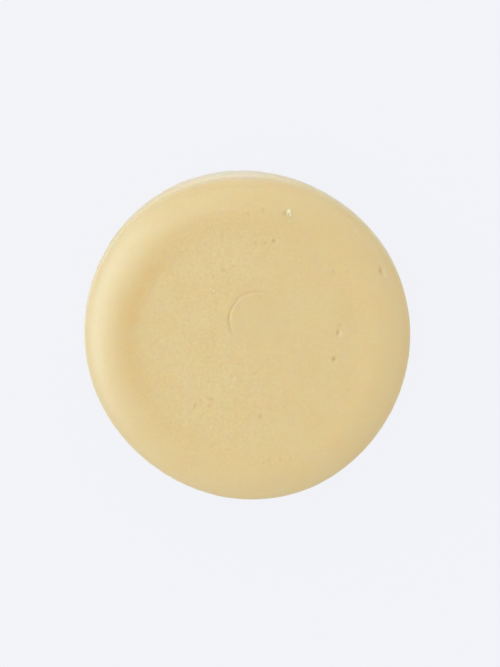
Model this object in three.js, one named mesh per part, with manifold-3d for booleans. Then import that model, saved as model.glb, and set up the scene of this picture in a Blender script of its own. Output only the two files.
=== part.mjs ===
// A shaving soap puck: one solid cake of hard soap, with a rounded shoulder and a slightly dished face.
// Millimetres, +Z up. The origin is the middle of the flat base, and +Z runs up the puck's axis to its face.
import * as THREE from "three";
import { mergeVertices } from "three/addons/utils/BufferGeometryUtils.js";
import Module from "manifold-3d";

// Driving dimensions.
const BASE_DIAMETER = 70;
const HEIGHT = 26;
const BASE_EDGE_RADIUS = 1.5; // the rounded corner between base and wall
const SEAM_HEIGHT = 17; // where the straight wall meets the rounded shoulder
const WALL_DRAFT = 0.65; // how much narrower the wall is at the seam than at the base, on the radius
const SEAM_STEP = 0.2; // how far the wall stands proud of the shoulder at the seam
const SHOULDER_WIDTH = 7.8; // from the seam in to the crest of the rim
const DISH_DEPTH = 0.35; // how far the face lies below the crest of the rim
const DISH_SLOPE_WIDTH = 4.2; // from the crest in to the flat of the face

// A shallow round groove in the face, a little off the puck's axis.
const FACE_RING = { x: 2.2, y: 4.1, radius: 6.1, wireRadius: 0.35, depth: 0.15 };

const TURN_SEGMENTS = 72;
const SHOULDER_STEPS = 12;
const DISH_STEPS = 6;
const BASE_EDGE_STEPS = 4;

const SOAP = new THREE.MeshStandardMaterial({ name: "soap", color: 0xdfc896, roughness: 0.5, metalness: 0 });

// Sizes that follow from the driving ones.
const baseRadius = BASE_DIAMETER / 2;
const wallTopRadius = baseRadius - WALL_DRAFT;
const shoulderRadius = wallTopRadius - SEAM_STEP;
const crestRadius = shoulderRadius - SHOULDER_WIDTH;
const faceRadius = crestRadius - DISH_SLOPE_WIDTH;
const faceHeight = HEIGHT - DISH_DEPTH;

// Points at the share 1/steps, 2/steps ... 1 of a curve given as a function of that share.
function sweep(steps, curve) {
  return Array.from({ length: steps }, (_, i) => curve((i + 1) / steps));
}

// The puck's half section, as (radius, height) from the middle of the base round to the middle of the face.
function halfSection() {
  const baseEdge = sweep(BASE_EDGE_STEPS, (share) => {
    const angle = (share * Math.PI) / 2;
    return new THREE.Vector2(
      baseRadius - BASE_EDGE_RADIUS * (1 - Math.sin(angle)),
      BASE_EDGE_RADIUS * (1 - Math.cos(angle)),
    );
  });
  // A quarter ellipse, upright at the seam and level at the crest.
  const shoulder = sweep(SHOULDER_STEPS, (share) => {
    const angle = (share * Math.PI) / 2;
    return new THREE.Vector2(
      crestRadius + SHOULDER_WIDTH * Math.cos(angle),
      SEAM_HEIGHT + (HEIGHT - SEAM_HEIGHT) * Math.sin(angle),
    );
  });
  // Half a cosine wave, level at the crest and level where the face begins.
  const dishSlope = sweep(DISH_STEPS, (share) => {
    return new THREE.Vector2(
      crestRadius - DISH_SLOPE_WIDTH * share,
      HEIGHT - (DISH_DEPTH * (1 - Math.cos(share * Math.PI))) / 2,
    );
  });
  return [
    new THREE.Vector2(0, 0),
    new THREE.Vector2(baseRadius - BASE_EDGE_RADIUS, 0),
    ...baseEdge,
    new THREE.Vector2(wallTopRadius, SEAM_HEIGHT - SEAM_STEP),
    new THREE.Vector2(shoulderRadius, SEAM_HEIGHT),
    ...shoulder,
    ...dishSlope,
    new THREE.Vector2(faceRadius / 2, faceHeight),
    new THREE.Vector2(0, faceHeight),
  ];
}

// The turned cake, with its axis along +Z.
function turnedCake() {
  return new THREE.LatheGeometry(halfSection(), TURN_SEGMENTS).rotateX(Math.PI / 2);
}

// The thin round wire whose lower part, sunk in the face, is the groove of the ring.
function faceRingCutter() {
  const { x, y, radius, wireRadius, depth } = FACE_RING;
  return new THREE.TorusGeometry(radius, wireRadius, 8, 48).translate(x, y, faceHeight + wireRadius - depth);
}

const wasm = await Module();
wasm.setup();

// A closed three.js geometry as a solid that can be cut.
function solidFrom(geometry) {
  geometry.deleteAttribute("normal");
  geometry.deleteAttribute("uv");
  const merged = mergeVertices(geometry, 1e-4);
  return new wasm.Manifold(
    new wasm.Mesh({
      numProp: 3,
      vertProperties: merged.attributes.position.array,
      triVerts: new Uint32Array(merged.index.array),
    }),
  );
}

// A cut solid as a three.js geometry again.
function geometryFrom(solid) {
  const mesh = solid.getMesh();
  return new THREE.BufferGeometry()
    .setAttribute("position", new THREE.BufferAttribute(mesh.vertProperties, mesh.numProp))
    .setIndex(new THREE.BufferAttribute(mesh.triVerts, 1));
}

const cake = solidFrom(turnedCake()).subtract(solidFrom(faceRingCutter()));
const puck = new THREE.Mesh(geometryFrom(cake), SOAP);
puck.name = "soap_puck";

const part = new THREE.Group();
part.add(puck);

export default part;
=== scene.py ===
"""A shaving soap puck: one cake of pale, hard, waxy soap, with the crumbs that cling to its face.

Everything is in metres, +Z up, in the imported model's own frame: the origin is the middle of the flat base.
"""

import itertools
import math
from collections import namedtuple

import bpy
import numpy as np
from bpy.props import FloatProperty, FloatVectorProperty, PointerProperty
from mathutils import Matrix, Vector


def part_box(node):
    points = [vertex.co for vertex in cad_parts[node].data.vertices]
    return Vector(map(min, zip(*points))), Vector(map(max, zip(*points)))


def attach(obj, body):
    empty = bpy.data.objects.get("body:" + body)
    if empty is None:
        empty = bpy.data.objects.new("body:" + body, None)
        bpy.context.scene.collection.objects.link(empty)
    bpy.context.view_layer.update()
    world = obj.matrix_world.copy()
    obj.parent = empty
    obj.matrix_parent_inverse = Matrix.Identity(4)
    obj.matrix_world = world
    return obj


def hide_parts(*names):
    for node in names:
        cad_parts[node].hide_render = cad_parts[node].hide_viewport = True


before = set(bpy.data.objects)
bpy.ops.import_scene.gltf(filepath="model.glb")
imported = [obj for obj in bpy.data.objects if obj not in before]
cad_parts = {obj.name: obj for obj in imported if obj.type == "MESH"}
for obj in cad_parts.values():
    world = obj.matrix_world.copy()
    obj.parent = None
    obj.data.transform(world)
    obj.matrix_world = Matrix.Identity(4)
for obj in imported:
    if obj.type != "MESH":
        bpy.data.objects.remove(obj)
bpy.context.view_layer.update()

PUCK_LOW, PUCK_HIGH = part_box("soap_puck")

bl_info = {
    "name": "Shaving soap puck",
    "version": (1, 0, 0),
    "blender": (4, 5, 0),
    "location": "View3D > Sidebar > Soap puck",
    "description": "Builds a cake of shaving soap with its crumbs, on a plain pale floor",
    "category": "Add Mesh",
}

MM = 0.001

# In the tuples below, angles round the cake are in degrees from +X towards +Y, and the rest is in mm.

# The cake's outline isn't a true circle. Each wave of it: how many crests, how high, and where the first is.
OUTLINE_LOBES = ((2, 0.35, 140), (3, 0.15, 30), (4, 0.15, 15))

# A hollow in the surface: its middle in the frame, its half width and half length, how deep it is, which way
# its length runs, and how pale the chip beside it is, from 0 to 1.
Pit = namedtuple("Pit", "x y half_width half_length depth turn chip", defaults=[0])
PITS = (
    Pit(18, -4, 0.4, 0.58, 0.3, 80),
    Pit(18.8, 1.5, 0.36, 0.65, 0.22, 95, 0.5),
    Pit(19.2, 3.2, 0.25, 0.4, 0.15, 80),
    Pit(27.8, 14.3, 0.38, 0.8, 0.24, 105, 0.4),
    Pit(5.5, 20.7, 0.4, 0.4, 0.2, 0),
    Pit(7.8, 26.6, 0.35, 0.4, 0.17, 70),
    Pit(2.8, -16, 0.4, 0.5, 0.16, 140),
    Pit(-7.8, -12.3, 0.3, 0.6, 0.17, 165),
    Pit(-11, -13.8, 0.3, 0.6, 0.13, 75),
)
DARKEST_PIT_DEPTH = 0.52  # a pit as deep as this gets the whole painted shade of the recesses
CHIP_HEIGHT = 0.06
CHIP_OFFSET = (1.6, -0.8)  # from the pit's middle to the chip's, in half widths of the pit

# Pinholes scattered along a short line: its middle, its length and direction, how many, and how deep.
Pinholes = namedtuple("Pinholes", "x y length turn count depth")
PINHOLES = (
    Pinholes(1.8, 26.9, 3, 0, 2, 0.14),
    Pinholes(2.5, 20, 1.6, -10, 2, 0.13),
    Pinholes(-3.5, 15.5, 9, 35, 5, 0.09),
    Pinholes(-9, -13, 2.5, 160, 2, 0.1),
    Pinholes(6, -25, 6, 10, 4, 0.09),
    Pinholes(18.5, -10, 4, 170, 2, 0.08),
    Pinholes(-7, -8.5, 3, 20, 2, 0.07),
    Pinholes(21, 14.5, 6, 0, 3, 0.07),
)
PINHOLE_SEED = 60  # of the first line's random numbers, and one more for each line after it
PINHOLE_SHIFT = 0.33  # furthest from its even place, as a share of the line's length over the count
PINHOLE_ASIDE = 0.4  # furthest from its line
PINHOLE_HALF_WIDTHS = (0.26, 0.36)
PINHOLE_LENGTHS = (1, 1.4)  # length over width

# A crumb of dry soap on the surface: its place, its width, and the seed of its shape.
Crumb = namedtuple("Crumb", "x y width seed")
CRUMBS = (
    Crumb(8.6, 26.8, 1.1, 1),
    Crumb(8.9, 26, 0.8, 2),
    Crumb(8.2, 26.2, 0.45, 3),
    Crumb(8.7, 24.8, 0.5, 4),
    Crumb(-7, 10.4, 0.34, 6),
    Crumb(-7.6, 10.9, 0.24, 7),
    Crumb(16, -23.5, 0.26, 8),
    Crumb(6, -24.4, 0.34, 9),
    Crumb(28.6, 13.2, 0.36, 10),
)
CRUMB_SHAPE = np.array([1, 0.85, 0.6])  # length, width and height, as shares of the width in the list

# Faint lines round the shoulder: radius, and first and last angle.
SHOULDER_LINES = ((32.4, 82, 115), (33.2, 100, 130))

# A stretch of the way round the cake, as the middle and the half width of a bell.
Stretch = namedtuple("Stretch", "middle half_width")
LIP_STRETCH = Stretch(97, 22)
# Where the wall and the seam near the lip get a painted reflection of the pale surroundings.
PAINTED_REFLECTION_STRETCH = Stretch(97, 24)
SCUFFED_STRETCH = Stretch(46, 13)
# Where the painted shade in the dish's valley is strongest, and where the painted shade low on the shoulder
# is left off: both on the side where the lights stand.
SHADED_VALLEY_STRETCH = Stretch(165, 50)
LIT_SHOULDER_STRETCH = Stretch(165, 75)
DEEPEST_RING_STRETCH = Stretch(178, 26)

# A layer of noise in the skin: how high it is, the size of its cells, and the seed of its random numbers.
Layer = namedtuple("Layer", "height cell seed")
WAVES = Layer(0.035, 14, 1)
RIPPLES = Layer(0.010, 5, 2)
GRAIN = (Layer(1, 0.6, 3), Layer(0.6, 0.95, 4), Layer(0.4, 1.9, 5))  # heights as shares of the grain height
LINE_WANDER = Layer(0.2, 6, 8)
SEAM_WANDER = Layer(0.10, 4, 12)
WALL_DRAG = (Layer(0.012, 0.9, 14), Layer(0.012, 2.6, 15))
WALL_WAVES = Layer(0.03, 4.5, 16)
BASE_SWELL = Layer(0.06, 18, 19)
RING_WANDER = Layer(0.10, 3, 21)
SCUFF_ROUGHNESS = Layer(0.04, 0.7, 32)

FACE_CELLS = 216  # cells across the square grid that becomes the round face
SHOULDER_ROWS = 34
WALL_ROWS = 11
BASE_EDGE_ROWS = 4
BASE_ROWS = 8
NOISE_PERIOD = 64  # cells after which the noise repeats
NOISE_TURN = Matrix.Rotation(0.62, 3, Vector((1, 2, 3)).normalized())  # keeps its cells off the frame's axes

# A place round the puck: degrees round it, degrees above level, and metres from its middle.
Place = namedtuple("Place", "side rise distance")
KEY_PLACE = Place(150, 32, 0.8)
KEY_SIZE = (0.5, 0.5)
# Lights that only show as a sheen: name, place, and share of the sheen power.
SHEEN_LIGHTS = (("low sheen", Place(172, 4, 0.6), 1), ("high sheen", Place(148, 44, 0.6), 0.45))
SHEEN_SIZE = (0.9, 0.6)
SHEEN_COLOUR = (0.62, 0.9, 0.97)
BRIGHT_SIDE = Place(145, 50, 1)
BRIGHT_COSINES = (-0.98, -0.05)  # of the angle from the bright side: where the air is dimmest, and full
AIR_STRENGTHS = (0.61, 1.0)
AIM_OFFSET = Vector((0.58 * MM, 0.64 * MM, 0))  # from the puck's middle to the middle of the camera's picture


class SoapCakeSettings(bpy.types.PropertyGroup):
    """The cake's sizes, surface and colours."""

    seam_height: FloatProperty(
        name="Seam height",
        description="Height at which the straight wall meets the rounded shoulder",
        default=17 * MM,
        precision=5,
        subtype="DISTANCE",
        unit="LENGTH",
    )
    wall_draft: FloatProperty(
        name="Wall draft",
        description="How much smaller the wall's radius is at the seam than at the base",
        default=0.65 * MM,
        precision=5,
        subtype="DISTANCE",
        unit="LENGTH",
    )
    seam_step: FloatProperty(
        name="Seam step",
        description="How far the wall stands proud of the shoulder at the seam",
        default=0.2 * MM,
        precision=5,
        subtype="DISTANCE",
        unit="LENGTH",
    )
    seam_lip: FloatProperty(
        name="Seam lip",
        description="How much further it stands proud on the +Y side",
        default=0.7 * MM,
        precision=5,
        subtype="DISTANCE",
        unit="LENGTH",
    )
    base_edge_radius: FloatProperty(
        name="Base edge radius",
        description="Radius of the rounded corner between base and wall",
        default=1.5 * MM,
        precision=5,
        subtype="DISTANCE",
        unit="LENGTH",
    )
    shoulder_width: FloatProperty(
        name="Shoulder width",
        description="From the seam in to the crest of the rim",
        default=7.8 * MM,
        precision=5,
        subtype="DISTANCE",
        unit="LENGTH",
    )
    dish_depth: FloatProperty(
        name="Dish depth",
        description="How far the face lies below the crest of the rim",
        default=0.35 * MM,
        precision=5,
        subtype="DISTANCE",
        unit="LENGTH",
    )
    dish_slope_width: FloatProperty(
        name="Dish slope width",
        description="From the crest of the rim in to the flat of the face",
        default=4.2 * MM,
        precision=5,
        subtype="DISTANCE",
        unit="LENGTH",
    )
    ring_centre: FloatVectorProperty(
        name="Face ring centre",
        description="Middle of the shallow ring in the face",
        default=(2.2 * MM, 4.1 * MM),
        size=2,
        precision=5,
        subtype="XYZ_LENGTH",
        unit="LENGTH",
    )
    ring_radius: FloatProperty(
        name="Face ring radius",
        description="Radius of the shallow ring in the face",
        default=6.1 * MM,
        precision=5,
        subtype="DISTANCE",
        unit="LENGTH",
    )
    ring_depth: FloatProperty(
        name="Face ring depth",
        description="About how deep the ring is on its -X side",
        default=0.15 * MM,
        precision=6,
        subtype="DISTANCE",
        unit="LENGTH",
    )
    grain_height: FloatProperty(
        name="Grain height",
        description="Height of the fine pebble grain of the skin",
        default=0.05 * MM,
        precision=6,
        subtype="DISTANCE",
        unit="LENGTH",
    )
    soap_colour: FloatVectorProperty(
        name="Soap",
        description="Colour of the soap",
        default=(0.79, 0.643, 0.337),
        subtype="COLOR",
        min=0,
        max=1,
    )
    # Painted shade: a deeper colour put in the pits, the face ring, the shoulder lines and the wall's dents,
    # where less light reaches.
    painted_recess_shade_colour: FloatVectorProperty(
        name="Hollows",
        description="Deeper colour inside the pits",
        default=(0.66, 0.43, 0.13),
        subtype="COLOR",
        min=0,
        max=1,
    )
    # Painted shade: a warmer, deeper colour in the valley of the dish and low on the shoulder away from the
    # lights.
    painted_shade_colour: FloatVectorProperty(
        name="Amber",
        description="Warmer colour in the valley of the dish",
        default=(0.79, 0.50, 0.13),
        subtype="COLOR",
        min=0,
        max=1,
    )
    # Partly real and partly painted light: the paler colour of scuffs, chips, the wall's mottling and the
    # base, and a painted reflection on the wall and seam near the lip.
    wear_and_painted_reflection_colour: FloatVectorProperty(
        name="Bloom",
        description="Paler colour of the flecks, the scuffs and the palest skin",
        default=(0.84, 0.76, 0.60),
        subtype="COLOR",
        min=0,
        max=1,
    )
    roughness: FloatProperty(
        name="Roughness",
        description="Mean roughness of the waxy skin",
        default=0.46,
        min=0,
        max=1,
        subtype="FACTOR",
    )
    glow_depth: FloatProperty(
        name="Glow depth",
        description="How far light travels inside the soap",
        default=2.2 * MM,
        precision=5,
        subtype="DISTANCE",
        unit="LENGTH",
    )


class SoapCrumbSettings(bpy.types.PropertyGroup):
    """The crumbs' size and colour."""

    size_share: FloatProperty(
        name="Size",
        description="Size of all crumbs, as a share of their own",
        default=1.0,
        min=0.1,
        max=3,
        subtype="FACTOR",
    )
    sunk_share: FloatProperty(
        name="Sunk share",
        description="How much of a crumb's height is pressed into the cake",
        default=0.35,
        min=0,
        max=1,
        subtype="FACTOR",
    )
    colour: FloatVectorProperty(
        name="Crumb",
        description="Colour of the crumbs",
        default=(0.95, 0.85, 0.58),
        subtype="COLOR",
        min=0,
        max=1,
    )


class SoapStageSettings(bpy.types.PropertyGroup):
    """The floor, the lights and the camera."""

    floor_colour: FloatVectorProperty(
        name="Floor",
        description="Colour of the plain floor and of the air round the puck",
        default=(0.888, 0.896, 0.939),
        subtype="COLOR",
        min=0,
        max=1,
    )
    key_power: FloatProperty(
        name="Key power",
        description="Power of the soft light at the upper left",
        default=0.72,
        min=0,
        subtype="POWER",
        unit="POWER",
    )
    sheen_power: FloatProperty(
        name="Sheen power",
        description="Power of the low softbox at the left that only shows as a sheen on the skin",
        default=13.0,
        min=0,
        subtype="POWER",
        unit="POWER",
    )
    camera_distance: FloatProperty(
        name="Camera distance",
        description="From the camera to the middle of the puck",
        default=0.6,
        subtype="DISTANCE",
        unit="LENGTH",
    )
    camera_tilt: FloatProperty(
        name="Camera tilt",
        description="How far the camera leans from straight above",
        default=math.radians(4),
        subtype="ANGLE",
        unit="ROTATION",
    )
    camera_side: FloatProperty(
        name="Camera side",
        description="Which way the camera leans, from +X towards +Y",
        default=math.radians(95),
        subtype="ANGLE",
        unit="ROTATION",
    )
    focal_length: FloatProperty(
        name="Focal length",
        description="Focal length in millimetres, on a sensor 36 mm long",
        default=152.9,
        unit="CAMERA",
    )


def smooth_step(low, high, value):
    """0 below low, 1 above high, and 3t^2 - 2t^3 of the share t in between."""
    share = np.clip((value - low) / (high - low), 0, 1)
    return share * share * (3 - 2 * share)


def bell(offset, half_width):
    """A Gaussian bell of height 1: e to the power of minus the square of offset over half_width."""
    return np.exp(-((offset / half_width) ** 2))


def noise(points, cell, seed):
    """Noise from -1 to 1: random numbers at the corners of cubes of size cell, blended by smooth steps."""
    lattice = np.random.default_rng(seed).uniform(-1, 1, (NOISE_PERIOD,) * 3)
    places = points @ np.array(NOISE_TURN) / cell
    corner = np.floor(places).astype(int)
    share = places - corner
    share = share * share * (3 - 2 * share)
    total = np.zeros(len(points))
    for step in itertools.product((0, 1), repeat=3):
        weight = np.prod(np.where(step, share, 1 - share), axis=1)
        total += weight * lattice[tuple(((corner + step) % NOISE_PERIOD).T)]
    return total


def layered(points, *layers):
    """The sum of layers of noise, each times its own height."""
    return sum(layer.height * noise(points, layer.cell * MM, layer.seed) for layer in layers)


def angle_between(angle, middle):
    """The difference of two angles, brought into the half turn either side of 0."""
    return (angle - middle + math.pi) % (2 * math.pi) - math.pi


def near(angle, stretch):
    """A bell of the angle round the cake, 1 in the middle of a stretch."""
    return bell(angle_between(angle, math.radians(stretch.middle)), math.radians(stretch.half_width))


def outline_swell(angle):
    """How far outside a circle the outline is at an angle, in metres: a sum of cosine waves, one a lobe."""
    waves = (high * np.cos(count * (angle - math.radians(first))) for count, high, first in OUTLINE_LOBES)
    return MM * sum(waves)


def disc_grid(cells):
    """A square grid bent into a disc: each square ring becomes a circle, and the way round it stays even.

    Returns the radius share and the angle of each grid point, and the indices of the outermost ring in order.
    """
    across, up = np.meshgrid(np.linspace(-1, 1, cells + 1), np.linspace(-1, 1, cells + 1))
    sideways = np.abs(across) >= np.abs(up)
    longer = np.where(sideways, across, up)
    safe = np.where(longer == 0, 1, longer)
    shorter = np.where(sideways, up, across)
    eighth = math.pi / 4 * shorter / safe
    angle = np.where(sideways, eighth, math.pi / 2 - eighth) + np.where(longer < 0, math.pi, 0)
    index = np.arange((cells + 1) ** 2).reshape(cells + 1, cells + 1)
    rim = np.concatenate([index[:-1, -1], index[-1, :0:-1], index[:0:-1, 0], index[0, :-1]])
    return np.abs(longer).ravel(), angle.ravel(), rim


class Section:
    """The cake's half section: a dished face, a quarter ellipse shoulder, a drafted wall and a flat base."""

    def __init__(self, size):
        self.base_radius = (PUCK_HIGH.x - PUCK_LOW.x) / 2
        self.height = PUCK_HIGH.z - PUCK_LOW.z
        self.seam_height = size.seam_height
        self.wall_top_radius = self.base_radius - size.wall_draft
        self.shoulder_radius = self.wall_top_radius - size.seam_step
        self.crest_radius = self.shoulder_radius - size.shoulder_width
        self.shoulder_width = size.shoulder_width
        self.slope_width = size.dish_slope_width
        self.dish_depth = size.dish_depth
        self.edge_radius = size.base_edge_radius
        self.seam_step = size.seam_step

    def face_height(self, radius):
        """Height of the face inside the crest: half a cosine wave down from the crest, then flat."""
        share = np.clip((self.crest_radius - radius) / self.slope_width, 0, 1)
        return self.height - self.dish_depth * (1 - np.cos(share * math.pi)) / 2

    def top_height(self, radius):
        """Height of the face or, outside the crest, of the shoulder."""
        share = np.clip((radius - self.crest_radius) / self.shoulder_width, 0, 1)
        rise = (self.height - self.seam_height) * np.sqrt(1 - share * share)
        return np.where(radius > self.crest_radius, self.seam_height + rise, self.face_height(radius))

    def side_rows(self):
        """(radius, height) rows from the crest out, down the wall and over the base, but for its middle."""
        turn = np.linspace(math.pi / 2, 0, SHOULDER_ROWS + 1)
        shoulder = np.stack(
            [
                self.crest_radius + self.shoulder_width * np.cos(turn),
                self.seam_height + (self.height - self.seam_height) * np.sin(turn),
            ],
            axis=1,
        )
        inset = self.seam_step * np.array([0.5, 0, 0, 0])
        drop = self.seam_step * np.array([0.5, 1, 2, 3.5])
        seam = np.stack([self.wall_top_radius - inset, self.seam_height - drop], axis=1)
        share = np.linspace(0, 1, WALL_ROWS + 1)[1:, None]
        wall = seam[-1] * (1 - share) + np.array([self.base_radius, self.edge_radius]) * share
        turn = np.linspace(0, math.pi / 2, BASE_EDGE_ROWS + 1)[1:]
        edge = np.stack([1 - np.cos(turn), 1 - np.sin(turn)], axis=1) * self.edge_radius
        edge[:, 0] = self.base_radius - edge[:, 0]
        inwards = np.linspace(1, 0, BASE_ROWS + 1)[1:-1]
        base = np.stack([(self.base_radius - self.edge_radius) * inwards, np.zeros(len(inwards))], axis=1)
        return np.concatenate([shoulder, seam, wall, edge, base])


def turned_points(radius, height, angle):
    """Points at a radius, a height and an angle round +Z."""
    return np.stack([radius * np.cos(angle), radius * np.sin(angle), height], axis=1)


def cake_surface(section):
    """The plain cake as one closed grid: points, outward normals, and faces.

    The face is a disc grid whose height follows the section. Its outermost ring is carried down the section's
    rows, as a turned surface, and the last row closes on one point in the middle of the base.
    """
    share, face_angle, rim = disc_grid(FACE_CELLS)
    face_radius = share * section.crest_radius
    face = turned_points(face_radius, section.face_height(face_radius), face_angle)
    small = section.slope_width / 1000
    rise = section.face_height(face_radius + small) - section.face_height(face_radius - small)
    slope = np.where(share == 1, 0, rise / (2 * small))
    face_normal = turned_points(-slope, np.ones(len(slope)), face_angle)

    rows = section.side_rows()
    along = np.gradient(rows, axis=0)
    side_angle = np.tile(face_angle[rim], len(rows) - 1)
    per_row = len(rim)
    side = turned_points(*np.repeat(rows[1:], per_row, axis=0).T, side_angle)
    outwards = np.stack([-along[1:, 1], along[1:, 0]], axis=1)
    side_normal = turned_points(*np.repeat(outwards, per_row, axis=0).T, side_angle)

    points = np.concatenate([face, side, [[0, 0, 0]]])
    normals = np.concatenate([face_normal, side_normal, [[0, 0, -1]]])
    normals /= np.linalg.norm(normals, axis=1, keepdims=True)

    index = np.arange((FACE_CELLS + 1) ** 2).reshape(FACE_CELLS + 1, FACE_CELLS + 1)
    squares = np.stack([index[:-1, :-1], index[:-1, 1:], index[1:, 1:], index[1:, :-1]], axis=-1)
    ring = np.concatenate([rim[None], len(face) + np.arange(len(side)).reshape(-1, per_row)])
    after = np.roll(ring, -1, axis=1)
    bands = np.stack([ring[:-1], ring[1:], after[1:], after[:-1]], axis=-1)
    pole = np.full(per_row, len(points) - 1)
    fan = np.stack([ring[-1], pole, after[-1]], axis=1)
    faces = squares.reshape(-1, 4).tolist() + bands.reshape(-1, 4).tolist() + fan.tolist()
    return points, normals, faces


def pit_mask(points, pit):
    """1 in a pit's middle and 0 outside it: e to the power of minus the cube of the elliptic distance."""
    turn = math.radians(pit.turn)
    offset = points[:, :2] - np.array([pit.x, pit.y]) * MM
    along = offset[:, 0] * math.cos(turn) + offset[:, 1] * math.sin(turn)
    across = offset[:, 1] * math.cos(turn) - offset[:, 0] * math.sin(turn)
    distance = np.hypot(along / (pit.half_length * MM), across / (pit.half_width * MM))
    return np.exp(-(distance**3))


def all_pits():
    """The pits, and the pinholes: evenly spaced along their lines, then each shifted a little at random."""
    pits = list(PITS)
    for seed, line in enumerate(PINHOLES, PINHOLE_SEED):
        draw = np.random.default_rng(seed)
        turn = math.radians(line.turn)
        for place in np.linspace(-0.5, 0.5, line.count):
            along = line.length * (place + draw.uniform(-PINHOLE_SHIFT, PINHOLE_SHIFT) / line.count)
            aside = draw.uniform(-PINHOLE_ASIDE, PINHOLE_ASIDE)
            x = line.x + along * math.cos(turn) - aside * math.sin(turn)
            y = line.y + along * math.sin(turn) + aside * math.cos(turn)
            half_width = draw.uniform(*PINHOLE_HALF_WIDTHS)
            half_length = half_width * draw.uniform(*PINHOLE_LENGTHS)
            pits.append(Pit(x, y, half_width, half_length, line.depth, draw.uniform(0, 180)))
    return pits


def face_ring(points, size):
    """Depth of the face ring: a bell across it, deep on the -X +Y side and fading to a trace elsewhere.

    A second, lower bell stands up just inside it, as a lip.
    """
    offset = points[:, :2] - np.array(size.ring_centre)
    angle = np.arctan2(offset[:, 1], offset[:, 0])
    across = np.hypot(offset[:, 0], offset[:, 1]) - size.ring_radius - MM * layered(points, RING_WANDER)
    from_deep_side = np.abs(angle_between(angle, math.radians(142)))
    pressed = 1 - smooth_step(math.radians(56), math.radians(80), from_deep_side)
    patchy = 0.75 + 0.4 * near(angle, DEEPEST_RING_STRETCH) + 0.3 * noise(points, 1.6 * MM, 22)
    trace = 0.04
    groove = (trace + (1 - trace) * pressed * patchy) * bell(across, 0.24 * MM)
    lip = 0.35 * pressed * bell(across + 0.6 * MM, 0.35 * MM)
    return size.ring_depth * (groove - lip)


class Skin:
    """The plain cake's points, with masks from 0 to 1 for above the seam, for the wall and for the base."""

    def __init__(self, points, normals, section):
        self.points = points
        self.radius = np.hypot(points[:, 0], points[:, 1])
        self.angle = np.arctan2(points[:, 1], points[:, 0])
        self.height = points[:, 2]
        above_seam = self.height - section.seam_height
        self.upper = smooth_step(0, 0.6 * MM, above_seam)
        self.base = smooth_step(0.7, 0.98, -normals[:, 2])
        self.off_base = 1 - self.base
        self.wall = self.off_base * (1 - smooth_step(-1.2 * MM, -0.5 * MM, above_seam))
        self.above_seam_line = above_seam - MM * layered(points, SEAM_WANDER)


def grain_strength(skin, section, size):
    """How strong the grain is: a bell on the -X side, less on the shoulder and inside the ring."""
    strength = 0.45 + 0.5 * bell(skin.points[:, 0] + 9 * MM, 13 * MM) + 0.3 * skin.base
    shoulder = smooth_step(section.crest_radius - 3 * MM, section.crest_radius + 2 * MM, skin.radius)
    from_ring = skin.points[:, :2] - np.array(size.ring_centre)
    from_ring = np.hypot(from_ring[:, 0], from_ring[:, 1]) - size.ring_radius
    in_ring = 1 - smooth_step(-1 * MM, 1.5 * MM, from_ring)
    return strength * (1 - 0.55 * shoulder * skin.upper) * (1 - 0.5 * in_ring)


def grain_relief(skin):
    """The pebble grain as a share of its height: layers of noise, less pores at the peaks of another."""
    pores = smooth_step(0.25, 0.85, noise(skin.points, 0.62 * MM, 6))
    return (layered(skin.points, *GRAIN) - 1.6 * pores) * skin.off_base


def pit_relief(skin):
    """How deep the pits are, less the chips that stand up beside them, how much painted shade each pit gets,
    more for a deeper pit, and where the chips are.
    """
    depth = np.zeros(len(skin.points))
    painted_recess_shade = np.zeros(len(skin.points))
    chipped = np.zeros(len(skin.points))
    for pit in all_pits():
        mask = skin.upper * pit_mask(skin.points, pit)
        depth += pit.depth * mask
        # painted shade in the pit, more for a deeper pit
        painted_recess_shade = np.maximum(painted_recess_shade, mask * min(1, pit.depth / DARKEST_PIT_DEPTH))
        if pit.chip:
            x, y = (middle + share * pit.half_width for middle, share in zip((pit.x, pit.y), CHIP_OFFSET))
            beside = skin.upper * pit_mask(skin.points, pit._replace(x=x, y=y)) * (1 - mask)
            depth -= CHIP_HEIGHT * beside
            chipped = np.maximum(chipped, pit.chip * beside)
    return depth * MM, painted_recess_shade, chipped


def line_masks(skin):
    """Where each faint line of the shoulder is: a bell across it, which fades out towards its two ends."""
    wander = MM * layered(skin.points, LINE_WANDER)
    masks = []
    for radius, first, last in SHOULDER_LINES:
        middle = math.radians((first + last) / 2)
        reach = math.radians((last - first) / 2)
        window = 1 - smooth_step(0.6 * reach, 1.1 * reach, np.abs(angle_between(skin.angle, middle)))
        masks.append(skin.upper * window * bell(skin.radius - radius * MM - wander, 0.3 * MM))
    return np.array(masks)


def scuff_mask(skin):
    """Where the shoulder is scuffed: a bell round it times one up it, broken up by drawn-out noise."""
    window = near(skin.angle, SCUFFED_STRETCH) * bell(skin.height - 22.4 * MM, 0.9 * MM)
    drawn_out = np.stack([skin.angle * 8 * MM, skin.height, 0 * skin.height], axis=1)
    return skin.upper * window * smooth_step(0, 0.6, noise(drawn_out, 0.5 * MM, 31))


def wall_relief(skin, dents):
    """The wall's drag lines, which are noise drawn out along its height, and its waves, less its dents."""
    drag = layered(skin.points * np.array([1, 1, 0.05]), *WALL_DRAG)
    waves = layered(skin.points * np.array([1, 1, 2.2]), WALL_WAVES)
    return MM * (skin.wall * (drag + waves) - 0.09 * dents)


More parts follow.
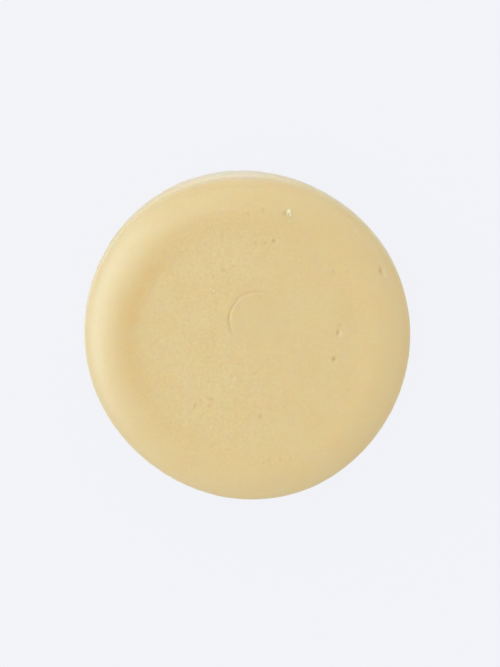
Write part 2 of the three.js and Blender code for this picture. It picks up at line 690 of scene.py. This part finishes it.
def painted_shade_tint(skin, section):
    """How much painted shade the soap gets, in a warmer, deeper colour: a bell across the valley of the dish,
    and a bell low on the shoulder.

    The valley's painted shade is strongest on the -X side, where the dish's inner slope faces away from the
    lights, and is broken up by noise. The shoulder's is left off that side, which faces the lights, so it
    darkens the shoulder on the side away from them.
    """
    # painted shade in the valley of the dish
    valley = skin.upper * bell(skin.radius - section.crest_radius + 2.2 * MM, 2.4 * MM)
    valley *= 0.25 + 0.75 * near(skin.angle, SHADED_VALLEY_STRETCH)
    broken = 0.75 + 0.5 * noise(skin.points, 2.2 * MM, 23)
    # painted shade low on the shoulder, away from the lights
    shoulder = skin.upper * bell(skin.height - section.seam_height - 3.6 * MM, 2.2 * MM)
    shoulder *= 1 - near(skin.angle, LIT_SHOULDER_STRETCH)
    return 0.27 * valley * broken + 0.24 * shoulder


def wear_and_painted_reflection_tint(skin, scuff, chipped):
    """How pale the soap is: the sum of scuffs, chips, a painted reflection on the wall and along the seam
    near the lip, the wall's mottling and the base.
    """
    near_lip = near(skin.angle, PAINTED_REFLECTION_STRETCH) * skin.off_base
    # painted highlight along the seam, and painted reflection on the wall, near the lip
    edge = near_lip * bell(skin.above_seam_line - 0.3 * MM, 0.5 * MM)
    painted_reflection_wall = near_lip * (skin.wall + bell(skin.above_seam_line, 0.9 * MM))
    mottling = skin.wall * smooth_step(0.1, 0.9, noise(skin.points, 7 * MM, 24))
    wear_and_painted_reflection = 0.28 * scuff + 0.5 * edge + 0.66 * painted_reflection_wall + 0.18 * mottling + 0.3 * skin.base + chipped
    return np.clip(wear_and_painted_reflection, 0, 1)


def relief(skin, section, size):
    """How far the skin stands out from the plain cake, and the values that its material reads.

    The relief is a sum of slow waves, grain, scuffs, the wall's own relief and the base's, less the pits, the
    face ring, the shoulder lines and a crease at the seam.
    """
    strength = grain_strength(skin, section, size)
    depth, pit_painted_recess_shade, chipped = pit_relief(skin)
    ring = skin.upper * face_ring(skin.points, size)
    lines = line_masks(skin)
    scuff = scuff_mask(skin)
    dents = skin.wall * smooth_step(0.45, 0.8, noise(skin.points, 2.1 * MM, 17))

    out = MM * (layered(skin.points, WAVES) + layered(skin.points, RIPPLES) * skin.off_base)
    out += size.grain_height * strength * grain_relief(skin)
    out += MM * scuff * layered(skin.points, SCUFF_ROUGHNESS)
    out += wall_relief(skin, dents)
    out += MM * skin.base * (layered(skin.points, BASE_SWELL) - 0.1)
    out -= depth + ring
    out -= 0.07 * MM * (lines.sum(axis=0) + bell(skin.above_seam_line, 0.35 * MM) * skin.off_base)

    # painted shade in the recesses: the pits, the face ring, the shoulder lines and the wall's dents
    shares = (pit_painted_recess_shade, 0.25 * ring / size.ring_depth, 0.12 * lines.max(axis=0), 0.12 * dents)
    return out, {
        "painted_recess_shade": np.maximum.reduce(shares),
        "wear_and_painted_reflection": wear_and_painted_reflection_tint(skin, scuff, chipped),
        "grain": strength,
        "painted_shade": painted_shade_tint(skin, section),
    }


def shaped(points, section, size):
    """The plain cake's points moved onto its real outline, which isn't a true circle.

    The radius grows by the outline's lobes times the cube of its share of the base's radius. Above the seam
    it also shrinks on the +Y side, in the same way, by a bell as high as the seam lip.
    """
    radius = np.hypot(points[:, 0], points[:, 1])
    angle = np.arctan2(points[:, 1], points[:, 0])
    above = smooth_step(-0.35 * MM, 0, points[:, 2] - section.seam_height)
    lip = size.seam_lip * near(angle, LIP_STRETCH) * above
    grown = radius + (outline_swell(angle) - lip) * (radius / section.base_radius) ** 3
    return turned_points(grown, points[:, 2], angle)


def fitted(points):
    """The points stretched along each axis, by the same share everywhere, to fill the CAD solid's box."""
    low, high = np.array(PUCK_LOW), np.array(PUCK_HIGH)
    least, most = points.min(axis=0), points.max(axis=0)
    return low + (points - least) * (high - low) / (most - least)


def new_piece(name, points, faces, material):
    """A smooth mesh object in the frame, riding on the puck's body and taking its finish from the given
    material.
    """
    mesh = bpy.data.meshes.new(name)
    mesh.from_pydata(points, [], faces, shade_flat=False)
    mesh.materials.append(material)
    piece = bpy.data.objects.new(name, mesh)
    bpy.context.scene.collection.objects.link(piece)
    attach(piece, "root")
    return piece


def add_values(mesh, name, values):
    """Stores one number for each point of a mesh, for its material to read."""
    attribute = mesh.attributes.new(name, "FLOAT", "POINT")
    attribute.data.foreach_set("value", values.astype(np.float32))


def mixed(tree, first, second, factor):
    """A node that blends two colours by a factor, each a socket or a value."""
    node = tree.nodes.new("ShaderNodeMix")
    node.data_type = "RGBA"
    colour_sockets = node.inputs[6:8]
    for socket, value in zip((node.inputs["Factor"], *colour_sockets), (factor, first, second)):
        if isinstance(value, bpy.types.NodeSocket):
            tree.links.new(value, socket)
        else:
            socket.default_value = value
    return node.outputs[2]


def noise_node(tree, size, detail):
    """Noise on the object's own coordinates, with features of about the given size."""
    place = tree.nodes.new("ShaderNodeTexCoord")
    node = tree.nodes.new("ShaderNodeTexNoise")
    node.inputs["Scale"].default_value = 1 / size
    node.inputs["Detail"].default_value = detail
    tree.links.new(place.outputs["Object"], node.inputs["Vector"])
    return node.outputs["Fac"]


def ranged(tree, value, low, high):
    """A noise value, which keeps near the middle of 0 to 1, spread over low to high."""
    node = tree.nodes.new("ShaderNodeMapRange")
    node.inputs["From Min"].default_value = 0.3
    node.inputs["From Max"].default_value = 0.7
    node.inputs["To Min"].default_value = low
    node.inputs["To Max"].default_value = high
    tree.links.new(value, node.inputs["Value"])
    return node.outputs["Result"]


def value_of(tree, name):
    """The mesh's own stored number of that name."""
    node = tree.nodes.new("ShaderNodeAttribute")
    node.attribute_name = name
    return node.outputs["Fac"]


def tinted(colour, shares):
    """An opaque colour: each channel of a colour times its own share, at most 1."""
    return (*(min(1, channel * share) for channel, share in zip(colour, shares)), 1)


def empty_material(name):
    """A material with one Principled shader, and that shader."""
    material = bpy.data.materials.new(name)
    material.use_nodes = True
    return material, material.node_tree, material.node_tree.nodes["Principled BSDF"]


def glow(shader, depth):
    """Light spreads under the skin, red furthest and blue least, as in any pale fat or wax."""
    shader.inputs["Subsurface Weight"].default_value = 1
    shader.inputs["Subsurface Radius"].default_value = (1.0, 0.62, 0.28)
    shader.inputs["Subsurface Scale"].default_value = depth


def product(tree, first, second):
    """The product of two number sockets."""
    node = tree.nodes.new("ShaderNodeMath")
    node.operation = "MULTIPLY"
    tree.links.new(first, node.inputs[0])
    tree.links.new(second, node.inputs[1])
    return node.outputs["Value"]


def soap_skin(size):
    """Waxy soap: slow mottling, lighter flecks, painted shade in the dish's valley, low on the shoulder and
    in the recesses, pale scuffs and chips, a painted reflection near the lip, a fine bump.
    """
    material, tree, shader = empty_material("waxy soap")
    warmer = tinted(size.soap_colour, (1.0, 0.975, 0.93))
    lighter = tinted(size.soap_colour, (1.2, 1.2, 1.2))
    grain = value_of(tree, "grain")
    pebble = noise_node(tree, 0.6 * MM, 2)
    flecks = product(tree, ranged(tree, pebble, -0.08, 0.33), grain)
    colour = mixed(tree, (*size.soap_colour, 1), warmer, ranged(tree, noise_node(tree, 6 * MM, 3), 0, 1))
    colour = mixed(tree, colour, lighter, flecks)
    # painted shade in the valley of the dish and low on the shoulder
    colour = mixed(tree, colour, (*size.painted_shade_colour, 1), value_of(tree, "painted_shade"))
    # painted shade in the recesses
    colour = mixed(tree, colour, (*size.painted_recess_shade_colour, 1), value_of(tree, "painted_recess_shade"))
    # pale scuffs, chips, mottling and base, and the painted reflection near the lip
    colour = mixed(tree, colour, (*size.wear_and_painted_reflection_colour, 1), value_of(tree, "wear_and_painted_reflection"))
    tree.links.new(colour, shader.inputs["Base Color"])
    rough = ranged(tree, noise_node(tree, 1.5 * MM, 4), size.roughness - 0.05, size.roughness + 0.05)
    tree.links.new(rough, shader.inputs["Roughness"])
    shader.inputs["Specular IOR Level"].default_value = 0.22
    bump = tree.nodes.new("ShaderNodeBump")
    bump.inputs["Strength"].default_value = 1
    bump.inputs["Distance"].default_value = 0.08 * MM
    tree.links.new(product(tree, pebble, grain), bump.inputs["Height"])
    tree.links.new(bump.outputs["Normal"], shader.inputs["Normal"])
    glow(shader, size.glow_depth)
    return material


def crumb_skin(settings):
    """Dry, powdery soap: pale, matt and a little uneven."""
    material, tree, shader = empty_material("dry soap crumb")
    deeper = tinted(settings.colour, (0.97, 0.93, 0.82))
    colour = mixed(tree, (*settings.colour, 1), deeper, noise_node(tree, 0.2 * MM, 2))
    tree.links.new(colour, shader.inputs["Base Color"])
    shader.inputs["Roughness"].default_value = 0.8
    glow(shader, 0.2 * MM)
    return material


class SOAPPUCK_OT_cake(bpy.types.Operator):
    """Build the cake of soap in place of the plain CAD solid"""

    bl_idname = "soap_puck.build_cake"
    bl_label = "Build cake"

    def execute(self, context):
        size = context.scene.soap_cake
        section = Section(size)
        points, normals, faces = cake_surface(section)
        out, values = relief(Skin(points, normals, section), section, size)
        points = fitted(shaped(points + normals * out[:, None], section, size))
        cake = new_piece("soap_cake", points, faces, soap_skin(size))
        for name, value in values.items():
            add_values(cake.data, name, value)
        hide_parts("soap_puck")
        return {"FINISHED"}


def crumb_surface(crumb, section, settings):
    """One crumb: a ball with closed poles, its radius roughened by noise, flattened and sunk in the cake."""
    around, down = 12, 8
    angle = np.linspace(0, 2 * math.pi, around, endpoint=False)
    fall = np.linspace(0, math.pi, down + 1)[1:-1]
    fall, angle = (grid.ravel() for grid in np.meshgrid(fall, angle, indexing="ij"))
    ball = turned_points(np.sin(fall), np.cos(fall), angle)
    ball = np.concatenate([[[0, 0, 1]], ball, [[0, 0, -1]]])
    ball *= 1 + 0.35 * noise(ball, 0.9, 100 + crumb.seed)[:, None]
    half = crumb.width * MM * settings.size_share / 2 * CRUMB_SHAPE
    ball *= half
    turn = Matrix.Rotation(crumb.seed * 1.3, 3, "Z")
    place = np.array([crumb.x, crumb.y]) * MM
    ground = section.top_height(np.hypot(*place))
    room = PUCK_HIGH.z - ground - ball[:, 2].max()
    lift = min(half[2] * (1 - 2 * settings.sunk_share), room)
    points = ball @ np.array(turn).T + [*place, ground + lift]
    ring = 1 + np.arange((down - 1) * around).reshape(down - 1, around)
    after = np.roll(ring, -1, axis=1)
    top, bottom = np.zeros(around, int), np.full(around, len(points) - 1)
    caps = [np.stack([top, ring[0], after[0]], axis=1), np.stack([ring[-1], bottom, after[-1]], axis=1)]
    sides = np.stack([ring[:-1], ring[1:], after[1:], after[:-1]], axis=-1).reshape(-1, 4)
    return points, np.concatenate(caps).tolist() + sides.tolist()


class SOAPPUCK_OT_crumbs(bpy.types.Operator):
    """Build the crumbs that cling to the cake's face and shoulder"""

    bl_idname = "soap_puck.build_crumbs"
    bl_label = "Build crumbs"

    def execute(self, context):
        settings = context.scene.soap_crumbs
        section = Section(context.scene.soap_cake)
        points, faces = [], []
        for crumb in CRUMBS:
            own_points, own_faces = crumb_surface(crumb, section, settings)
            first = sum(len(part) for part in points)
            faces += [[first + index for index in face] for face in own_faces]
            points.append(own_points)
        new_piece("soap_crumbs", np.concatenate(points), faces, crumb_skin(settings))
        return {"FINISHED"}


def around_puck(centre, place):
    """The point at a place round a centre."""
    side, rise = math.radians(place.side), math.radians(place.rise)
    level = math.cos(rise)
    return centre + place.distance * Vector((math.cos(side) * level, math.sin(side) * level, math.sin(rise)))


def soft_light(name, place, centre, size, power):
    """A rectangular soft light at a place round the centre, facing it."""
    data = bpy.data.lights.new(name, "AREA")
    data.shape = "RECTANGLE"
    data.size, data.size_y = size
    data.energy = power
    light = bpy.data.objects.new(name, data)
    bpy.context.scene.collection.objects.link(light)
    light.location = around_puck(centre, place)
    light.rotation_euler = (centre - light.location).to_track_quat("-Z", "Y").to_euler()
    return light


def stage_floor(settings):
    """A plain pale floor that glows nearly as bright as the air round it.

    Only the camera sees it: it lights nothing, shows in no reflection and casts no shadow. The light of the
    air below it reaches the puck in place of the light that a pale floor would throw back.
    """
    half, dark, brightness = 3.0, 0.05, 0.95
    mesh = bpy.data.meshes.new("floor")
    corners = [(-half, -half, 0), (half, -half, 0), (half, half, 0), (-half, half, 0)]
    mesh.from_pydata(corners, [], [(0, 1, 2, 3)])
    floor = bpy.data.objects.new("floor", mesh)
    bpy.context.scene.collection.objects.link(floor)
    material, _, shader = empty_material("pale floor")
    shader.inputs["Base Color"].default_value = (dark, dark, dark, 1)
    shader.inputs["Roughness"].default_value = 1
    shader.inputs["Specular IOR Level"].default_value = 0
    shader.inputs["Emission Color"].default_value = (*settings.floor_colour, 1)
    shader.inputs["Emission Strength"].default_value = brightness
    mesh.materials.append(material)
    floor.visible_diffuse = False
    floor.visible_glossy = False
    floor.visible_shadow = False


def stage_air(scene, settings):
    """Soft light from all round, as in a light tent, and dimmer on the side away from the lights.

    Its strength is a smooth step of the cosine of the angle between a direction and the bright side's.
    """
    world = bpy.data.worlds.new("light tent")
    world.use_nodes = True
    tree = world.node_tree
    background = tree.nodes["Background"]
    background.inputs["Color"].default_value = (*settings.floor_colour, 1)
    direction = tree.nodes.new("ShaderNodeTexCoord")
    cosine = tree.nodes.new("ShaderNodeVectorMath")
    cosine.operation = "DOT_PRODUCT"
    cosine.inputs[1].default_value = around_puck(Vector(), BRIGHT_SIDE)
    strength = tree.nodes.new("ShaderNodeMapRange")
    strength.interpolation_type = "SMOOTHSTEP"
    ends = ("From Min", "From Max", "To Min", "To Max")
    for name, value in zip(ends, BRIGHT_COSINES + AIR_STRENGTHS):
        strength.inputs[name].default_value = value
    tree.links.new(direction.outputs["Generated"], cosine.inputs[0])
    tree.links.new(cosine.outputs["Value"], strength.inputs["Value"])
    tree.links.new(strength.outputs["Result"], background.inputs["Strength"])
    scene.world = world


def stage_camera(scene, settings, centre):
    """A camera almost straight above the puck's face, with +Y up in its picture."""
    tilt, side = settings.camera_tilt, settings.camera_side
    back = Vector((math.sin(tilt) * math.cos(side), math.sin(tilt) * math.sin(side), math.cos(tilt)))
    right = Vector((0, 1, 0)).cross(back).normalized()
    turn = Matrix((right, back.cross(right), back)).transposed()
    data = bpy.data.cameras.new("camera")
    data.sensor_width = 36
    data.lens = settings.focal_length
    camera = bpy.data.objects.new("camera", data)
    scene.collection.objects.link(camera)
    place = centre + AIM_OFFSET + back * settings.camera_distance
    camera.matrix_world = Matrix.Translation(place) @ turn.to_4x4()
    scene.camera = camera


class SOAPPUCK_OT_stage(bpy.types.Operator):
    """Set the floor, the lights and the camera"""

    bl_idname = "soap_puck.build_stage"
    bl_label = "Build stage"

    def execute(self, context):
        scene = context.scene
        settings = scene.soap_stage
        centre = (PUCK_LOW + PUCK_HIGH) / 2
        stage_floor(settings)
        stage_air(scene, settings)
        soft_light("key", KEY_PLACE, centre, KEY_SIZE, settings.key_power)
        for name, place, share in SHEEN_LIGHTS:
            sheen = soft_light(name, place, centre, SHEEN_SIZE, settings.sheen_power * share)
            sheen.visible_diffuse = False
            sheen.data.color = SHEEN_COLOUR
        stage_camera(scene, settings, centre)
        scene.view_settings.view_transform = "Standard"
        return {"FINISHED"}


class SOAPPUCK_PT_panel(bpy.types.Panel):
    """The steps that build the puck, with the settings of each"""

    bl_idname = "SOAPPUCK_PT_panel"
    bl_label = "Shaving soap puck"
    bl_space_type = "VIEW_3D"
    bl_region_type = "UI"
    bl_category = "Soap puck"

    def draw(self, context):
        scene = context.scene
        for settings, operator in (
            (scene.soap_cake, SOAPPUCK_OT_cake),
            (scene.soap_crumbs, SOAPPUCK_OT_crumbs),
            (scene.soap_stage, SOAPPUCK_OT_stage),
        ):
            box = self.layout.box()
            box.operator(operator.bl_idname)
            for name in settings.__annotations__:
                box.prop(settings, name)


CLASSES = (
    SoapCakeSettings,
    SoapCrumbSettings,
    SoapStageSettings,
    SOAPPUCK_OT_cake,
    SOAPPUCK_OT_crumbs,
    SOAPPUCK_OT_stage,
    SOAPPUCK_PT_panel,
)


def register():
    for one in CLASSES:
        bpy.utils.register_class(one)
    bpy.types.Scene.soap_cake = PointerProperty(type=SoapCakeSettings)
    bpy.types.Scene.soap_crumbs = PointerProperty(type=SoapCrumbSettings)
    bpy.types.Scene.soap_stage = PointerProperty(type=SoapStageSettings)


def unregister():
    del bpy.types.Scene.soap_stage
    del bpy.types.Scene.soap_crumbs
    del bpy.types.Scene.soap_cake
    for one in reversed(CLASSES):
        bpy.utils.unregister_class(one)


def main():
    """Builds everything in order."""
    register()
    bpy.ops.soap_puck.build_cake()
    bpy.ops.soap_puck.build_crumbs()
    bpy.ops.soap_puck.build_stage()


if __name__ == "__main__":
    main()
